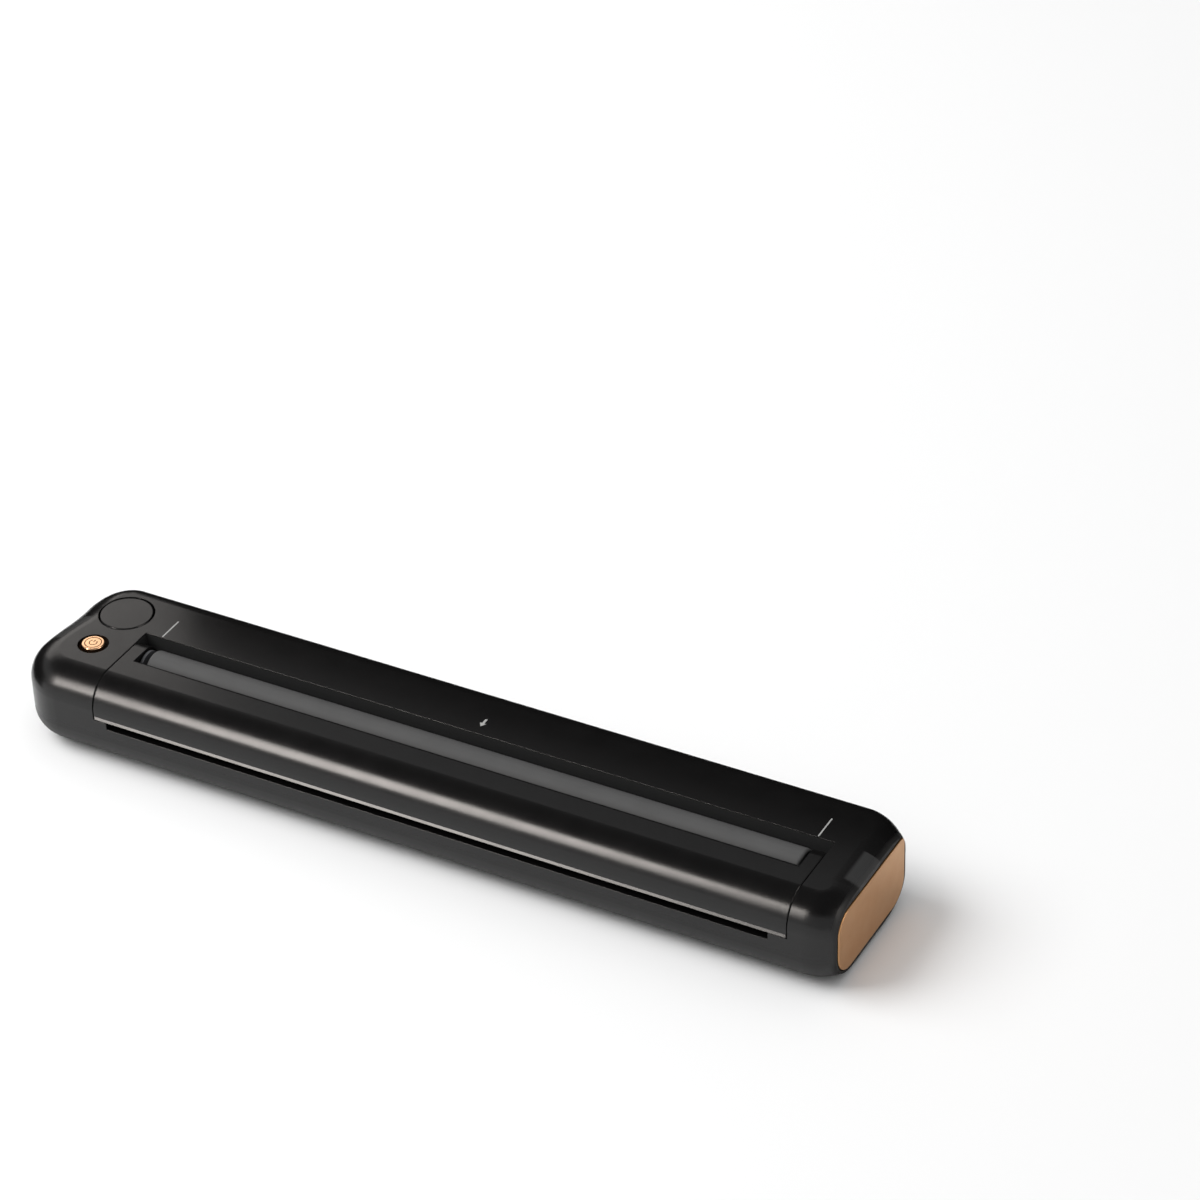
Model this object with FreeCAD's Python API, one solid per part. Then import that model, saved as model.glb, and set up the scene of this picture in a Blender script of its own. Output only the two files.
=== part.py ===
import FreeCAD, Part
import math
import os

# Portable thermal stencil copier for A4 sheets, in millimetres.
# X runs along the length, Y from the front to the rear, Z up from the table.
# The origin is on the table, under the middle of the body.

V = FreeCAD.Vector
along_x = V(1, 0, 0)
along_y = V(0, 1, 0)
along_z = V(0, 0, 1)

# Body
body_length = 264.7        # over the rounded left end and the plate at the right
body_depth = 50.7
body_height = 27.5         # from the table to the top face
foot_height = 1.0
wall = 1.8
front_top_share = 0.34     # radii of the long edges, as shares of the body's own height
rear_top_share = 0.229
left_top_share = 0.453
right_top_share = 0.49
bottom_share = 0.302
left_bottom_share = 0.408
right_bottom_share = 0.377
cavity_top_shares = (0.385, 0.321, 0.321, 0.321)      # left, right, front, rear
cavity_bottom_shares = (0.34, 0.264, 0.264, 0.264)
plan_radius = 15.0
rear_right_plan_radius = 18.0
end_run = 6.1              # the rounded form is cut flat this far short of its own right end
overrun = 3.0              # how far a cutting body passes the face that it cuts
slack = 0.3                # gap round pieces that slide or lie loosely
along_share = 0.999        # an edge runs along an axis from this share of a unit

# Right end plate
plate_thickness = 1.0
plate_proud = 0.3
plate_gap = 0.35
plate_front_inset = 3.75
plate_rear_inset = 5.6
plate_top_inset = 3.9
plate_bottom_inset = 2.2
plate_corner_shares = (0.30, 0.37, 0.34, 0.12)   # of the plate's height: front top, front bottom,
#                                                  rear bottom, rear top

# Front cover and its seams
left_end_length = 28.5     # from the body's left end to the cover
right_end_length = 13.5
seam_gap = 0.25
deck_depth_share = 0.42    # of the body's depth, for the rear deck behind the inlet
inlet_width = 7.3          # from the deck's front edge to the roller's axis
slot_drop = 11.75          # from the top face to the cover's lower edge
slot_height = 2.4
slot_left_inset = 4.3
slot_right_inset = 5.8
cheek_left_width = 4.6
cheek_right_width = 4.2
lip_clearance = 0.75       # from the roller to the rounded lip of the cover
lip_radius = 1.5
edge_round = 0.3
cover_open_gap = 0.25

# Platen roller
roller_radius = 5.5
roller_drop = 5.7          # from the top face to the roller's axis
rubber_left_gap = 2.6
rubber_right_gap = 1.0
rubber_end_round = 1.0
core_radius = 2.5
core_proud = 0.3
journal_radius = 2.0
bearing_gap = 0.04
gear_seat_radius = 1.5
bush_radius = 3.5
bush_flange_radius = 4.9
bush_flange_thickness = 0.8
bush_flange_gap = 0.35
knuckle_gap = 0.05
frame_thickness = 1.2
frame_front_reach = 11.65      # from the roller's axis
frame_rear_reach = 18.45
frame_shoulder = 1.0         # how far inside the knuckle's sides the frame's top narrows

# Gear train, in the left end
gear_module_share = 0.02105  # of the height between the floor and the roller's axis
addendum_share = 0.8
dedendum_share = 1.15
tooth_thinning = 0.09
pressure_angle = math.radians(20)
platen_teeth = 16
idler_teeth = 24
small_teeth = 12
large_teeth = 36
motor_teeth = 12
inner_gear_width = 2.2
outer_gear_width = 1.8
gear_side_gap = 0.4
gear_pin_radius = 1.0
gear_bore_gap = 0.05
idler_angle = math.radians(230)
compound_angle = math.radians(320)
motor_angle = math.radians(5)
gear_plate_thickness = 1.0
motor_radius_share = 0.401   # of the height between the floor and the latch
motor_end_gap = 3.0
motor_shaft_radius = 0.75
motor_bore_depth = 3.0
spacer_radius = 1.5
spacer_front_shares = (-21.5, -15.0)   # the front post, rearward and up from the compound gear
spacer_rear_shares = (13.75, -6.5)     # the upper post, from the platen

# Print head
head_gap = 0.3
head_length_inset = 0.6
ceramic_depth = 8.0
ceramic_thickness = 1.0
sink_thickness = 2.4
sink_front_reach = 5.15       # from the roller's axis
sink_rear_reach = 8.45
lug_thickness = 1.8
lug_depth = 3.6
pivot_reach = 6.65            # behind the roller's axis
pivot_height_share = 0.633    # between the floor and the heat sink
pivot_radius = 1.2
ear_thickness = 1.8
pin_proud = 0.4
sink_flange = 1.2
sink_flange_height = 3.0
spring_peg_radius = 1.5
spring_peg_height = 2.0
head_spring_radius = 2.4
head_spring_wire = 0.35
head_spring_turns = 6
head_spring_count = 3
head_spring_reach = 0.75
head_spring_margin = 16.0

# Sheet guides
guide_thickness = 1.2
guide_end_angle = math.radians(48)
guide_rib_count = 9
guide_rib_height = 2.0
guide_rib_start = math.radians(5)
guide_rib_end = math.radians(30)
shelf_reach = 5.95
cover_guide_thickness = 1.0
cover_guide_reach = 6.95
cover_guide_rise = 1.2
cover_rib_count = 13
cover_rib_thickness = 1.2

# Release button and latch
button_to_seam = 10.6
button_to_inlet = 5.75
button_radius = 7.9
button_groove = 0.5
button_thickness = 1.5
button_travel = 1.2
collar_thickness = 1.0
well_floor_thickness = 1.2
well_depth = 5.0
stem_width = 4.0
stem_depth = 3.0
stem_tip = 7.6             # from the top face down to the stem's tip
release_spring_radius = 4.5
release_spring_wire = 0.4
release_spring_turns = 3
latch_thickness = 2.0
latch_block_width = 11.5
latch_block_depth = 7.4
latch_arm_width = 3.0
latch_nose_width = 2.8
latch_nose_share = 0.328      # of the way from the body's front to the roller's axis
latch_to_seam = 17.4
latch_nose_gap = 0.05
button_skirt = 1.5
button_skirt_wall = 0.8
cheek_wall = 1.3

# Power button
power_to_seam = 10.8
power_to_roller = 4.1
power_radius = 3.4
power_proud = 0.5
power_gap = 0.3
power_travel = 0.4
power_cap_thickness = 2.1
bezel_radius = 4.6
bezel_dish = 0.7
switch_size = 6.0
switch_height = 2.2
switch_plunger_radius = 1.5
switch_plunger_height = 0.4
button_board_thickness = 0.8
button_board_width = 9.6
button_board_depth = 7.8
board_post_radius = 0.6

# Bottom plate, feet and screws
bottom_left_margin = 11.6
bottom_right_margin = 4.8
bottom_side_margin = 8.75
bottom_corner_radius = 7.0
bottom_gap = 0.2
foot_sink = 0.4
foot_length = 16.0
foot_width = 5.0
foot_left_inset = 13.6       # from the seams
foot_right_inset = 19.1
foot_side_inset = 4.3        # from the bottom plate's long edges
boss_radius = 2.0
boss_inset = 2.6
left_boss_to_seam = 11.8
rear_boss_inset = 5.6
right_boss_inset = 8.1
shelf_boss_shares = (0.22, 0.78)   # along the shelf, from the left seam
screw_radius = 1.0
screw_head_radius = 1.9
screw_head_height = 0.8
screw_length = 6.0
frame_screw_radius = 0.9
frame_screw_head_radius = 1.6
frame_screw_head_height = 0.7
counterbore_gap = 0.2
counterbore_depth = 1.1

# Battery, boards and cable
cell_radius_share = 0.4615   # of the smaller room, across or up
cells_length_share = 0.584   # of the length between the seams
cell_count = 2
cell_space = 1.0
cell_rear_gap = 0.15
cell_floor_gap = 1.1
cell_left_inset = 3.6
saddle_width = 3.0
saddle_drop = 3.1            # from the cells' axis
saddle_depth_share = 1.71    # of the cell's radius
saddle_count = 4
board_thickness = 1.2
board_left_gap = 5.0         # from the cells
board_right_gap = 7.1        # from the right seam
board_front_gap = 2.55       # from the inlet
board_rear_gap = 2.35        # from the body's rear face
board_height = 7.4         # from the table to the underside of the board
chip_shares = (0.39, 0.26, 0.29)   # widths, of the room between the cable and the socket
chip_depths = (9.0, 6.0, 9.0)
chip_heights = (1.4, 1.2, 3.0)
usb_inset = 15.5             # from the board's right end
usb_width = 9.0
usb_height = 3.2
usb_depth = 7.6
usb_depth_share = 0.8        # of the socket's depth, for its mouth
cable_width = 14.0
cable_thickness = 0.3
cable_inset = 8.0
sensor_width = 6.0
sensor_height = 3.0
sensor_depth = 2.4
lid_switch_width = 5.8
lid_switch_depth = 3.0
lid_switch_height = 6.4

# Places worked out from the sizes above
x_left = -body_length / 2
x_plate = body_length / 2
x_end = x_plate - plate_proud
y_front = -body_depth / 2
y_rear = body_depth / 2
z_floor = foot_height
z_inside = foot_height + wall
z_top = body_height
z_deck = body_height - wall
form_height = body_height - foot_height
front_top_radius = front_top_share * form_height
seam_left = x_left + left_end_length
seam_right = x_plate - right_end_length
slot_left = seam_left + slot_left_inset
slot_right = seam_right - slot_right_inset
opening_left = seam_left + cheek_left_width
opening_right = seam_right - cheek_right_width
inlet_y = y_rear - deck_depth_share * body_depth
roller_y = inlet_y - inlet_width
roller_z = z_top - roller_drop
slot_top = z_top - slot_drop
slot_floor = slot_top - slot_height
cover_left = seam_left + seam_gap
cover_right = seam_right - seam_gap
cover_rim = slot_top - cover_open_gap
rubber_left = opening_left + rubber_left_gap
rubber_right = opening_right - rubber_right_gap
knuckle_radius = z_top - roller_z
lip_reach = roller_radius + lip_clearance + lip_radius
lip_rise = z_top - lip_radius - roller_z
lip_y = roller_y - math.sqrt(lip_reach ** 2 - lip_rise ** 2) + lip_radius
frame_front = roller_y - frame_front_reach
frame_rear = roller_y + frame_rear_reach
shelf_rear = roller_y - shelf_reach
cover_guide_rear = roller_y - cover_guide_reach
frame_left_x = seam_left - wall
frame_right_x = seam_right + wall
inner_gear_right = frame_left_x - frame_thickness - gear_side_gap
inner_gear_left = inner_gear_right - inner_gear_width
outer_gear_right = inner_gear_left - gear_side_gap
outer_gear_left = outer_gear_right - outer_gear_width
gear_plate_right = outer_gear_left - gear_side_gap
gear_plate_left = gear_plate_right - gear_plate_thickness
head_top = roller_z - roller_radius - head_gap
sink_top = head_top - ceramic_thickness
sink_bottom = sink_top - sink_thickness
sink_front = roller_y - sink_front_reach
sink_rear = roller_y + sink_rear_reach
pivot_y = roller_y + pivot_reach
pivot_z = z_inside + pivot_height_share * (sink_bottom - z_inside)
head_spring_y = roller_y - head_spring_reach
head_left = rubber_left + head_length_inset
head_right = rubber_right - head_length_inset
button_x = seam_left - button_to_seam
button_y = inlet_y + button_to_inlet
well_floor_top = z_top - well_depth
well_floor_bottom = well_floor_top - well_floor_thickness
latch_top = well_floor_bottom - slack
latch_bottom = latch_top - latch_thickness
latch_left = seam_left - latch_to_seam
latch_nose_y = y_front + latch_nose_share * (roller_y - y_front)
gear_module = gear_module_share * (roller_z - z_inside)
motor_radius = motor_radius_share * (latch_bottom - z_inside)
motor_length = gear_plate_left - x_left - wall - motor_end_gap
stem_tip_z = z_top - stem_tip
stem_left = button_x - stem_width / 2
power_x = seam_left - power_to_seam
power_y = roller_y - power_to_roller
power_cap_bottom = z_top + power_proud - power_cap_thickness
plunger_top = power_cap_bottom - power_travel - slack
button_board_top = plunger_top - switch_plunger_height - switch_height
shelf_bottom = slot_floor - wall
bottom_x0 = x_left + bottom_left_margin
bottom_x1 = x_end - bottom_right_margin
bottom_y0 = y_front + bottom_side_margin
bottom_y1 = y_rear - bottom_side_margin
chute_radius = inlet_width
seam_span = seam_right - seam_left
cell_radius = cell_radius_share * min(y_rear - wall - inlet_y, z_deck - z_inside)
cell_length = cells_length_share * seam_span / cell_count
cell_left = seam_left + cell_left_inset
cell_y = y_rear - wall - cell_rear_gap - cell_radius
cell_z = z_inside + cell_floor_gap + cell_radius
cells_length = cell_count * cell_length + (cell_count - 1) * cell_space
board_top = board_height + board_thickness
board_left = cell_left + cells_length + board_left_gap
board_right = seam_right - board_right_gap
board_front = inlet_y + board_front_gap
board_rear = y_rear - board_rear_gap
cable_x = board_left + cable_inset
usb_x = board_right - usb_inset
button_hole_radius = button_radius + button_groove


def box(x0, x1, y0, y1, z0, z1):
    return Part.makeBox(x1 - x0, y1 - y0, z1 - z0, V(x0, y0, z0))


def rod(x0, x1, y, z, radius):
    return Part.makeCylinder(radius, x1 - x0, V(x0, y, z), along_x)


def post(x, y, z0, z1, radius):
    return Part.makeCylinder(radius, z1 - z0, V(x, y, z0), along_z)


def fused(first, *others):
    return first.multiFuse(list(others)).removeSplitter()


def prism_x(points, x0, x1):
    # A closed outline of (y, z) points, carried along X.
    corners = [V(x0, y, z) for y, z in points]
    face = Part.Face(Part.makePolygon(corners + corners[:1]))
    return face.extrude(V(x1 - x0, 0, 0))


def prism_y(points, y0, y1):
    # A closed outline of (x, z) points, carried along Y.
    corners = [V(x, y0, z) for x, z in points]
    face = Part.Face(Part.makePolygon(corners + corners[:1]))
    return face.extrude(V(0, y1 - y0, 0))


def round_edges(shape, radius, wanted):
    edges = [edge for edge in shape.Edges if wanted(edge)]
    return shape.makeFillet(radius, edges)


def runs_along(edge, axis):
    return abs(edge.tangentAt(edge.FirstParameter).dot(axis)) > along_share


def near(value, target):
    return abs(value - target) < edge_round / 3


def moved_fillet(shape, level, radii, sides):
    # Rounds the loop of edges at one level. Each side has its own radius,
    # and the corner arcs run evenly from one to the next.
    x0, x1, y0, y1 = sides
    left, right, front, rear = radii

    def radius_at(point):
        if near(point.x, x0):
            return left
        if near(point.x, x1):
            return right
        if near(point.y, y0):
            return front
        return rear

    document = FreeCAD.newDocument()
    base = document.addObject("Part::Feature", "base")
    base.Shape = shape
    fillet = document.addObject("Part::Fillet", "fillet")
    fillet.Base = base
    rows = []
    for number, edge in enumerate(shape.Edges, 1):
        bounds = edge.BoundBox
        if near(bounds.ZMin, level) and near(bounds.ZMax, level):
            start = radius_at(edge.valueAt(edge.FirstParameter))
            end = radius_at(edge.valueAt(edge.LastParameter))
            rows.append((number, start, end))
    fillet.Edges = rows
    document.recompute()
    result = fillet.Shape.copy()
    FreeCAD.closeDocument(document.Name)
    return result


def rounded_body(inset, top_shares, bottom_shares):
    # The whole outer form, or the cavity a wall's thickness inside it.
    x0, x1 = x_left + inset, x_end + end_run - inset
    y0, y1 = y_front + inset, y_rear - inset
    z0, z1 = z_floor + inset, z_top - inset
    form = box(x0, x1, y0, y1, z0, z1)

    def at_rear_right(edge):
        middle = edge.BoundBox.Center
        return near(middle.x, x1) and near(middle.y, y1)

    form = round_edges(form, plan_radius - inset, lambda edge: runs_along(edge, along_z)
                       and not at_rear_right(edge))
    form = round_edges(form, rear_right_plan_radius - inset, lambda edge: runs_along(edge, along_z)
                       and at_rear_right(edge))
    sides = (x0, x1, y0, y1)
    form = moved_fillet(form, z1, [share * form_height for share in top_shares], sides)
    return moved_fillet(form, z0, [share * form_height for share in bottom_shares], sides)


def spring(x, y, z0, z1, radius, wire, turns):
    # A compression spring, standing on z0, with its wire as one unbroken tube.
    height = z1 - z0 - 2 * wire
    path = Part.makeHelix(height / turns, height, radius)
    section = Part.Wire([Part.makeCircle(wire, V(radius, 0, 0), along_y)])
    coil = Part.Wire(path.Edges).makePipeShell([section], True, True)
    coil.translate(V(x, y, z0 + wire))
    return coil


def polar(centre, distance, angle):
    return centre[0] + distance * math.cos(angle), centre[1] + distance * math.sin(angle)


def involute(angle):
    return math.tan(angle) - angle


def tooth_half_angle(teeth, radius):
    # Half the angle that a tooth spans at this radius, on an involute flank.
    pitch_radius = gear_module * teeth / 2
    base_radius = pitch_radius * math.cos(pressure_angle)
    at_pitch = math.pi / (2 * teeth) - tooth_thinning / (2 * pitch_radius)
    if radius <= base_radius:
        return at_pitch + involute(pressure_angle)
    local = math.acos(base_radius / radius)
    return at_pitch + involute(pressure_angle) - involute(local)


def gear(teeth, x0, x1, centre, phase, bore):
    # A spur gear along X. The phase is the angle of one tooth's middle, from +Y towards +Z.
    pitch_radius = gear_module * teeth / 2
    root = pitch_radius - gear_module * dedendum_share
    tip = pitch_radius + gear_module * addendum_share
    flank = (root, pitch_radius, tip)
    points = []
    for tooth in range(teeth):
        middle = phase + 2 * math.pi * tooth / teeth
        rising = [polar(centre, radius, middle - tooth_half_angle(teeth, radius)) for radius in flank]
        falling = [polar(centre, radius, middle + tooth_half_angle(teeth, radius)) for radius in flank]
        points += rising + falling[::-1]
    return prism_x(points, x0, x1).cut(rod(x0 - overrun, x1 + overrun, centre[0], centre[1], bore))


def meshing_phase(phase, teeth, angle, other_teeth):
    # The phase of the gear that stands at this angle from a gear of known phase.
    return angle + math.pi + (angle - phase) * teeth / other_teeth + math.pi / other_teeth


platen_centre = (roller_y, roller_z)
idler_centre = polar(platen_centre, gear_module * (platen_teeth + idler_teeth) / 2, idler_angle)
compound_centre = polar(idler_centre, gear_module * (idler_teeth + small_teeth) / 2, compound_angle)
motor_centre = polar(compound_centre, gear_module * (large_teeth + motor_teeth) / 2, motor_angle)
platen_phase = idler_angle
idler_phase = meshing_phase(platen_phase, platen_teeth, idler_angle, idler_teeth)
small_phase = meshing_phase(idler_phase, idler_teeth, compound_angle, small_teeth)
large_phase = motor_angle
motor_phase = meshing_phase(large_phase, large_teeth, motor_angle, motor_teeth)

# The three posts that hold the gear plate off the side frame, clear of every gear
spacer_places = (
    tuple(at + count * gear_module for at, count in zip(compound_centre, spacer_front_shares)),
    (motor_centre[0] + motor_radius, z_inside + spacer_radius + slack),
    tuple(at + count * gear_module for at, count in zip(platen_centre, spacer_rear_shares)),
)
tall_bosses = (
    (seam_left - left_boss_to_seam, bottom_y0 + boss_inset),
    (cell_left - boss_radius - cell_space, bottom_y1 - rear_boss_inset),
    (x_plate - right_boss_inset, bottom_y0 + right_boss_inset),
    (x_plate - right_boss_inset, bottom_y1 - right_boss_inset),
)
shelf_bosses = tuple((seam_left + share * seam_span, bottom_y0 + boss_inset) for share in shelf_boss_shares)
frame_screw_places = (
    (frame_front + boss_radius, pivot_z),
    (inlet_y, z_inside + boss_radius),
)
button_board_posts = tuple((power_x + sx * (button_board_width / 2 - board_post_radius),
                            power_y + sy * (button_board_depth / 2 - board_post_radius))
                           for sx in (-1, 1) for sy in (-1, 1))
board_posts = tuple((x, y) for x in (board_left + boss_radius, board_right - boss_radius)
                    for y in (board_front + boss_radius, bottom_y1 - boss_radius))
foot_places = tuple((x, y) for x in (seam_left + foot_left_inset, seam_right - foot_right_inset)
                    for y in (bottom_y0 + foot_side_inset, bottom_y1 - foot_side_inset))
head_spring_places = tuple(head_left + head_spring_margin
                           + n * (head_right - head_left - 2 * head_spring_margin) / (head_spring_count - 1)
                           for n in range(head_spring_count))


def outer_form():
    top_shares = (left_top_share, right_top_share, front_top_share, rear_top_share)
    bottom_shares = (left_bottom_share, right_bottom_share, bottom_share, bottom_share)
    form = rounded_body(0, top_shares, bottom_shares)
    return form.common(box(x_left - overrun, x_end, y_front - overrun, y_rear + overrun, 0, z_top + overrun))


def cavity_form():
    form = rounded_body(wall, cavity_top_shares, cavity_bottom_shares)
    end = x_plate - plate_thickness - wall
    return form.common(box(x_left, end, y_front, y_rear, 0, z_top))


def plate_form(grown, x0, x1):
    # The end plate's outline, grown by a gap, with a radius of its own at each corner.
    y0, y1 = y_front + plate_front_inset - grown, y_rear - plate_rear_inset + grown
    z0, z1 = z_floor + plate_bottom_inset - grown, z_top - plate_top_inset + grown
    form = box(x0, x1, y0, y1, z0, z1)
    height = z1 - z0 - 2 * grown
    corners = ((y0, z1), (y0, z0), (y1, z0), (y1, z1))
    for (y, z), share in zip(corners, plate_corner_shares):
        form = round_edges(form, share * height + grown, lambda edge: runs_along(edge, along_x)
                           and near(edge.BoundBox.Center.y, y) and near(edge.BoundBox.Center.z, z))
    return form


def button_well():
    # The sleeve and floor that guide the release button, under the top wall.
    sleeve = post(button_x, button_y, well_floor_bottom, z_top, button_hole_radius + collar_thickness)
    room = post(button_x, button_y, well_floor_top, z_top + overrun, button_hole_radius)
    reach_x, reach_y = stem_width / 2 + slack, stem_depth / 2 + slack
    hole = box(button_x - reach_x, button_x + reach_x, button_y - reach_y, button_y + reach_y,
               well_floor_bottom - overrun, well_floor_top + overrun)
    return sleeve, room, hole


def main_housing(outer, cavity):
    shell = outer.cut(cavity)
    shell = shell.cut(box(seam_left, seam_right, y_front - overrun, inlet_y, cover_rim, z_top + overrun))
    reach = inlet_y + wall
    inner = [
        box(seam_left - wall, seam_left, y_front, reach, z_floor, z_top),
        box(seam_right, seam_right + wall, y_front, reach, z_floor, z_top),
        box(seam_left - wall, seam_right + wall, inlet_y, reach, roller_z, z_top),
        box(seam_left - wall, seam_right + wall, y_front, shelf_rear, shelf_bottom, slot_floor),
    ]
    inner += [post(x, y, z_inside, z_top, boss_radius) for x, y in tall_bosses]
    inner += [post(x, y, z_inside, slot_floor, boss_radius) for x, y in shelf_bosses]
    inner += [post(x, y, button_board_top, z_top, board_post_radius) for x, y in button_board_posts]
    sleeve, room, stem_hole = button_well()
    inner.append(sleeve)
    body = shell.multiFuse([piece.common(outer) for piece in inner])
    cuts = [
        room,
        stem_hole,
        box(slot_left, slot_right, y_front - overrun, y_front + wall + slack, slot_floor,
            cover_rim + overrun),
        post(power_x, power_y, z_deck - overrun, z_top + overrun, power_radius + power_gap),
        post(power_x, power_y, z_top - wall / 2, z_top + overrun, bezel_radius),
        plate_form(plate_gap, x_plate - plate_thickness, x_plate + overrun),
        bottom_outline(bottom_gap, z_floor - overrun, z_inside),
        box(seam_left - wall - overrun, seam_left + slack, latch_nose_y - latch_nose_width / 2 - slack,
            latch_nose_y + latch_nose_width / 2 + slack, latch_bottom - slack, latch_top + slack),
        usb_hole(),
    ]
    cuts += [rod(x0, x1, roller_y, roller_z, bush_radius)
             for x0, x1 in ((frame_left_x, seam_left + slack), (seam_right - slack, frame_right_x))]
    cuts += [post(x, y, z_floor, z_floor + counterbore_depth + screw_length, screw_radius)
             for x, y in tall_bosses + shelf_bosses]
    cuts += [rod(frame_left_x, seam_left, y, z, frame_screw_radius) for y, z in frame_screw_places]
    cuts += [rod(seam_right, frame_right_x, y, z, frame_screw_radius) for y, z in frame_screw_places]
    for cut in cuts:
        body = body.cut(cut)
    return body.removeSplitter()


def bottom_outline(grown, z0, z1):
    form = box(bottom_x0 - grown, bottom_x1 + grown, bottom_y0 - grown, bottom_y1 + grown, z0, z1)
    return round_edges(form, bottom_corner_radius + grown, lambda edge: runs_along(edge, along_z))


def usb_form(grown, y0, y1):
    half = usb_width / 2 + grown
    form = box(usb_x - half, usb_x + half, y0, y1, board_top - grown, board_top + usb_height + grown)
    return round_edges(form, usb_height / 2 - cable_thickness, lambda edge: runs_along(edge, along_y))


def usb_hole():
    return usb_form(bottom_gap, y_rear - wall - overrun, y_rear + overrun)


def outer_seam_edges(edge, x):
    # Edges of the outer surface that lie in the plane across X at this place.
    bounds = edge.BoundBox
    if not (near(bounds.XMin, x) and near(bounds.XMax, x)):
        return False
    middle = edge.valueAt((edge.FirstParameter + edge.LastParameter) / 2)
    on_top = near(middle.z, z_top)
    on_front = near(middle.y, y_front)
    arc_y, arc_z = y_front + front_top_radius, z_top - front_top_radius
    on_arc = near(math.hypot(middle.y - arc_y, middle.z - arc_z), front_top_radius) and middle.y < arc_y
    return on_top or on_front or on_arc


def front_cover(outer, cavity):
    skin = outer.cut(cavity)
    strip = skin.common(box(cover_left, cover_right, y_front - overrun, roller_y, slot_top, z_top + overrun))
    strip = strip.cut(box(opening_left, opening_right, lip_y, y_rear, slot_floor, z_top + overrun))
    pieces = []
    pocket_rear = roller_y - knuckle_radius - cheek_wall
    for x0, x1 in ((cover_left, opening_left), (opening_right, cover_right)):
        cheek = outer.common(box(x0, x1, y_front - overrun, roller_y, slot_top, z_top + overrun))
        room = box(x0 + cheek_wall, x1 - cheek_wall, y_front, pocket_rear, slot_floor, z_top)
        pocket = cavity.common(room)
        cheek = cheek.cut(pocket)
        pieces += [cheek, rod(x0, x1, roller_y, roller_z, knuckle_radius)]
    cover = strip.multiFuse(pieces).removeSplitter()
    for x0, x1 in ((cover_left, opening_left), (opening_right, cover_right)):
        cover = cover.cut(rod(x0 - overrun, x1 + overrun, roller_y, roller_z, bush_radius + knuckle_gap))
    cover = round_edges(cover, lip_radius, lambda edge: runs_along(edge, along_x)
                        and near(edge.BoundBox.Center.y, lip_y) and near(edge.BoundBox.Center.z, z_top))
    for x in (cover_left, cover_right):
        cover = round_edges(cover, edge_round, lambda edge: outer_seam_edges(edge, x))
    return cover


def cover_guide(cavity):
    # Ribbed inner wall of the cover, which keeps the sheet down on its way to the slot.
    y0, y1 = y_front + wall, cover_guide_rear
    z0, z1 = slot_top, slot_top + cover_guide_rise
    rise = cover_guide_thickness
    panel = prism_x([(y0, z0), (y1, z1), (y1, z1 + rise), (y0, z0 + rise)], opening_left, opening_right)
    span = opening_right - opening_left - cover_rib_thickness
    ribs = []
    for number in range(cover_rib_count):
        x = opening_left + span * number / (cover_rib_count - 1)
        ribs.append(prism_x([(y0, z0), (y1, z1), (y1, z_top), (y0, z_top)], x, x + cover_rib_thickness))
    ribs = [rib.common(cavity) for rib in ribs]
    return fused(panel, *ribs)


def end_plate():
    plate = plate_form(0, x_plate - plate_thickness, x_plate)
    return round_edges(plate, edge_round, lambda edge: near(edge.BoundBox.XMin, x_plate)
                       and near(edge.BoundBox.XMax, x_plate))


def platen_rubber():
    sleeve = rod(rubber_left, rubber_right, roller_y, roller_z, roller_radius)
    sleeve = sleeve.makeFillet(rubber_end_round, [edge for edge in sleeve.Edges if edge.Closed])
    return sleeve.cut(rod(rubber_left - overrun, rubber_right + overrun, roller_y, roller_z, core_radius))


def platen_shaft():
    core_left, core_right = rubber_left - core_proud, rubber_right + core_proud
    seat = frame_left_x - frame_thickness - slack
    return fused(
        rod(core_left, core_right, roller_y, roller_z, core_radius),
        rod(seat, core_left, roller_y, roller_z, journal_radius),
        rod(core_right, frame_right_x + frame_thickness + slack, roller_y, roller_z, journal_radius),
        rod(inner_gear_left - pin_proud / 2, seat, roller_y, roller_z, gear_seat_radius),
    )


def platen_bush_left():
    outer_end = frame_left_x - frame_thickness
    flange_left = opening_left + bush_flange_gap
    flange_right = flange_left + bush_flange_thickness
    sleeve = rod(outer_end, flange_right, roller_y, roller_z, bush_radius)
    flange = rod(flange_left, flange_right, roller_y, roller_z, bush_flange_radius)
    bore = rod(outer_end - overrun, flange_right + overrun, roller_y, roller_z, journal_radius + bearing_gap)
    return fused(sleeve, flange).cut(bore)


def platen_bush_right():
    inner_end = rubber_right + core_proud + slack
    outer_end = frame_right_x + frame_thickness
    sleeve = rod(inner_end, outer_end, roller_y, roller_z, bush_radius)
    bore = journal_radius + bearing_gap
    return sleeve.cut(rod(inner_end - overrun, outer_end + overrun, roller_y, roller_z, bore))


def platen_gear():
    return gear(platen_teeth, inner_gear_left, inner_gear_right, platen_centre, platen_phase,
                gear_seat_radius)


def idler_gear():
    bore = gear_pin_radius + gear_bore_gap
    return gear(idler_teeth, inner_gear_left, inner_gear_right, idler_centre, idler_phase, bore)


def compound_gear():
    bore = gear_pin_radius + gear_bore_gap
    large = gear(large_teeth, outer_gear_left, outer_gear_right, compound_centre, large_phase, bore)
    small = gear(small_teeth, outer_gear_right, inner_gear_right, compound_centre, small_phase, bore)
    return large.fuse(small)


def motor_pinion():
    radius = motor_shaft_radius
    pinion = gear(motor_teeth, outer_gear_left, outer_gear_right, motor_centre, motor_phase, radius)
    y, z = motor_centre
    return pinion.fuse(rod(gear_plate_left - motor_bore_depth + slack, outer_gear_right, y, z, radius))


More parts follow.
